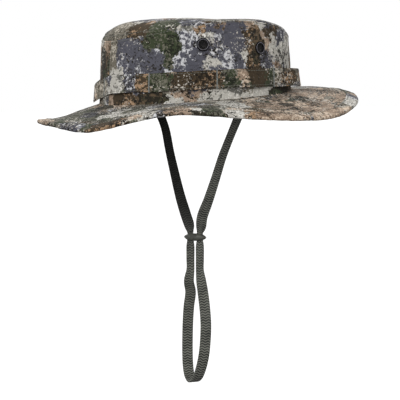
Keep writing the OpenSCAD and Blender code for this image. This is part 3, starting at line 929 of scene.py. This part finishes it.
def binding_section(f, q):
    """Place across the brim and lift of the binding's outer face, at angle f.

    q runs 0 to 1 from the top inner edge round to below.
    """
    t_in = 1 - BINDING_W / BRIM_W
    thick = BRIM_HALF + 0.75 * MM
    flat_q = 0.42
    nose = np.clip((q - flat_q) / (1 - 2 * flat_q), 0, 1) * np.pi
    top = q < flat_q
    below = q > 1 - flat_q
    along = np.where(top, q / flat_q, np.where(below, (1 - q) / flat_q, 1))
    t = t_in + (0.995 - t_in) * along + 0.022 * np.sin(nose) * ~(top | below)
    o = thick * np.cos(nose)
    return t + 0 * f, o


def brim_binding():
    nf, nq = 600, 26
    f = (np.arange(nf) * TAU / nf)[:, None]
    q = np.linspace(0, 1, nq)[None]
    t, o = binding_section(f, q)
    base = brim(f, t)
    wavy = binding_wave(base, t)
    outer = brim(f, t, o + wavy)
    inner = brim(f, t - 0.005 * (t > 0.995), o * (BRIM_HALF + 0.1 * MM) / (BRIM_HALF + 0.75 * MM) + wavy)
    obj = shell("brim_edge_binding", outer, inner, True, (1.7 * MM, 1.1 * MM))
    dress(obj, print_binding)
    place(obj, "hat", "binding_cloth", "brim_binding")


# ---------------------------------------------------------------- branch-loop band
def band_offset(f, v):
    """How far the band's inner face stands off the wall; loops sag open more at their foot."""
    b = bulge(f)
    p = wall(f, band_z(f) + BAND_H * v)
    loose = np.clip(b / (2.5 * MM), 0, 1)
    return 0.35 * MM + b * (1.0 - 0.16 * v) * 0.98 + loose * 0.25 * MM * ripple(p, 20 * MM, 41)


def foliage_band():
    nf, nv = 960, 14
    f = (np.arange(nf) * TAU / nf)[:, None]
    v = np.linspace(0, 1, nv)[None]
    z = band_z(f) + BAND_H * v + 0.25 * MM * ripple(wall(f, band_z(f)), 30 * MM, 42)
    o = band_offset(f, v)
    roll = 0.3 * MM * (np.abs(2 * v - 1) ** 10)
    obj = shell("foliage_band_cloth", wall(f, z, o + BAND_T - 0.2 * MM - roll), wall(f, z, o + roll), True,
                (0.62 * MM, 1.3 * MM))
    dress(obj, print_band)
    place(obj, "hat", "band_cloth", "foliage_band")


def wall_normal(p):
    n = np.stack([p[..., 0] / OPEN_A ** 2, p[..., 1] / OPEN_B ** 2, 0 * p[..., 0]], -1)
    return n / np.linalg.norm(n, axis=-1, keepdims=True)


def bartacks():
    """Satin columns of short stitches that pin the band down between its loops."""
    rows = []
    for deg in TACKS[:-1]:
        f0 = math.radians(deg)
        half = 0.0078
        for k in range(34):
            v = -0.02 + 1.04 * k / 33
            z = band_z(f0) + BAND_H * v
            f = np.array([f0 - half, f0, f0 + half])
            slant = np.array([-1, 0, 1]) * (0.3 if k % 2 else -0.3) * MM
            p = wall(f, z + slant, band_offset(f, v) + BAND_T - 0.12 * MM)
            rows.append((p, wall_normal(p)))
    obj = stitches("band_bartacks", rows, pitch=5 * MM, fill=1.0, radius=0.3 * MM)
    dress(obj, tack_thread)
    place(obj, "hat", "thread", "bartacks")


# ---------------------------------------------------------------- seams
def brim_normal(f, t, side):
    e = 1e-3
    du = brim(f + e, t) - brim(f - e, t)
    dt = brim(f, t + e) - brim(f, t - e)
    n = np.cross(dt, du)
    n *= np.sign(n[..., 2:3]) * side
    return n / np.linalg.norm(n, axis=-1, keepdims=True)


def eyelet_highlight_ring(name, f, z):
    """A thin bright ring on the lip of an eyelet: a painted highlight."""
    centre, n, u, v = vent_frame(f, z)
    a, b = np.meshgrid(np.arange(72) * TAU / 72, np.arange(8) * TAU / 8, indexing="ij")
    out = u * np.cos(a)[..., None] + v * np.sin(a)[..., None]
    reach = VENT_R + (0.62 + 0.2 * np.cos(b)) * MM
    verts = centre + out * reach[..., None] + n * ((1.16 + 0.2 * np.sin(b)) * MM)[..., None]
    faces, _ = lattice_faces(72, 8, True, True)
    obj = face_outward(make_object(name, verts, faces.tolist()))
    dress(obj, painted_highlight)
    place(obj, "hat", "eyelet_metal")


def seam_stitches():
    f = np.linspace(0, TAU, 2400)
    rows = []
    for t in ROW_T:
        relief = brim_relief(f, np.full_like(f, t))
        sag = sag_wave(brim(f, t), t)
        rows.append((brim(f, t, BRIM_HALF + relief + 0.05 * MM), brim_normal(f, t, 1)))
        rows.append((brim(f, t, sag - BRIM_HALF - (relief - sag) - 0.05 * MM), brim_normal(f, t, -1)))
    t = 1 - (BINDING_W - 1.6 * MM) / BRIM_W
    wavy = binding_wave(brim(f, np.full_like(f, t)), t)
    for side in (1, -1):
        rows.append((brim(f, t, side * (BRIM_HALF + 0.8 * MM) + wavy), brim_normal(f, t, side)))
    obj = stitches("brim_stitching", rows)
    dress(obj, seam_thread)
    place(obj, "hat", "thread")

    rows = []
    for v in (0.1, 0.9):
        p = wall(f, band_z(f) + BAND_H * v + 0.25 * MM * ripple(wall(f, band_z(f)), 30 * MM, 42),
                 band_offset(f, v) + BAND_T - 0.2 * MM)
        rows.append((p, wall_normal(p)))
    for below in (2.6 * MM,):
        z = tip_seam_z(f) - below
        p = wall(f, z, wall_wear(f, z) + 0.05 * MM)
        rows.append((p, wall_normal(p)))
    r = np.full_like(f, 0.972)
    p = tip(f, r, 0.15 * MM)
    rows.append((p, wall_normal(p) * 0.7 + np.array([0, 0, 0.7])))
    for deg in (-1.1, 1.1, 178.9, 181.1):
        c = math.radians(deg)
        z = np.linspace(float(seat_z(c)) + 3 * MM, float(tip_seam_z(c)) - 2 * MM, 60)
        p = wall(np.full_like(z, c), z, wall_wear(np.full_like(z, c), z) - 0.05 * MM)
        rows.append((p, wall_normal(p)))
    obj = stitches("crown_stitching", rows)
    dress(obj, seam_thread)
    place(obj, "hat", "thread")


# ---------------------------------------------------------------- vents
def vent_screen(name, f, z, node):
    """A woven wire screen filling one eyelet's bore."""
    centre, n, u, v = vent_frame(f, z)
    radius, pitch, wire = VENT_R - 0.05 * MM, 0.85 * MM, 0.16 * MM
    centre = centre - n * 0.55 * MM
    verts, faces, sides = [], [], 6
    ang = np.arange(sides) * TAU / sides
    lanes = np.arange(-5, 6) * pitch
    for along, across in ((u, v), (v, u)):
        flip = 1 if along is u else -1
        for k, lane in enumerate(lanes):
            reach = radius ** 2 - lane ** 2
            if reach <= (0.8 * MM) ** 2:
                continue
            half = math.sqrt(reach)
            s = np.linspace(-half, half, 28)
            lift = flip * (1 if k % 2 else -1) * 0.14 * MM * np.cos(math.pi * s / pitch)
            mid = centre + along * s[:, None] + across * lane + n * lift[:, None]
            ring = mid[:, None] + (across * np.cos(ang)[:, None] + n * np.sin(ang)[:, None])[None] * wire
            base = len(verts) * 28 * sides
            quads, _ = lattice_faces(28, sides, False, True)
            faces += (quads + base).tolist()
            faces.append([base + j for j in range(sides)])
            faces.append([base + 27 * sides + j for j in range(sides)])
            verts.append(ring)
    obj = face_outward(make_object(name, np.array(verts), faces))
    dress(obj, screen_wire)
    place(obj, "hat", "vent_mesh", node)


def anchor_patch(node):
    """The folded tab under the brim seam that holds the strap's end."""
    low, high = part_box(node)
    c = (low + high) / 2
    nx, ny = 24, 10
    x = np.linspace(low.x, high.x, nx)[:, None]
    y = np.linspace(low.y, high.y, ny)[None]
    ex = 1 - np.abs(2 * (x - c.x) / (high.x - low.x)) ** 8
    ey = 1 - np.abs(2 * (y - c.y) / (high.y - low.y)) ** 6
    puff = 0.5 * MM * (0.35 + 0.65 * np.sqrt(np.clip(ex * ey, 0, 1)))
    top = np.stack(np.broadcast_arrays(x, y, c.z + puff), -1)
    bottom = np.stack(np.broadcast_arrays(x, y, c.z - puff), -1)
    obj = shell(node + "_tab", top, bottom, False, (0.6 * MM, 0.4 * MM))
    dress(obj, anchor_cloth)
    place(obj, "hat", "anchor_cloth", node)


# ---------------------------------------------------------------- build
away, right = make_camera()
make_room(away, right)
strap, strap_path, strap_length = make_strap()
keeper = make_keeper()

crown_side("crown_side_left_cloth", 0.1, 179.9, print_crown, "crown_side_left")
crown_side("crown_side_right_cloth", 180.1, 359.9, print_crown_right, "crown_side_right")
crown_tip()
sweatband()
brim_layers()
brim_binding()
foliage_band()
bartacks()
seam_stitches()
for (vf, vz), place_name in zip(vent_points(), ("left_front", "left_rear", "right_front", "right_rear")):
    vent_screen("vent_screen_" + place_name, vf, vz, "mesh_" + place_name)
    eyelet_highlight_ring("eyelet_highlight_ring_" + place_name, vf, vz)
    dress(NODES["eyelet_" + place_name], black_metal)
    dress(NODES["washer_" + place_name], black_metal)
anchor_patch("strap_anchor_left")
anchor_patch("strap_anchor_right")
for name in ("tip_seam_tape", "front_seam_tape", "rear_seam_tape"):
    dress(NODES[name], tape_cloth)
dress(NODES["brim_interlining"], stiff_cloth)
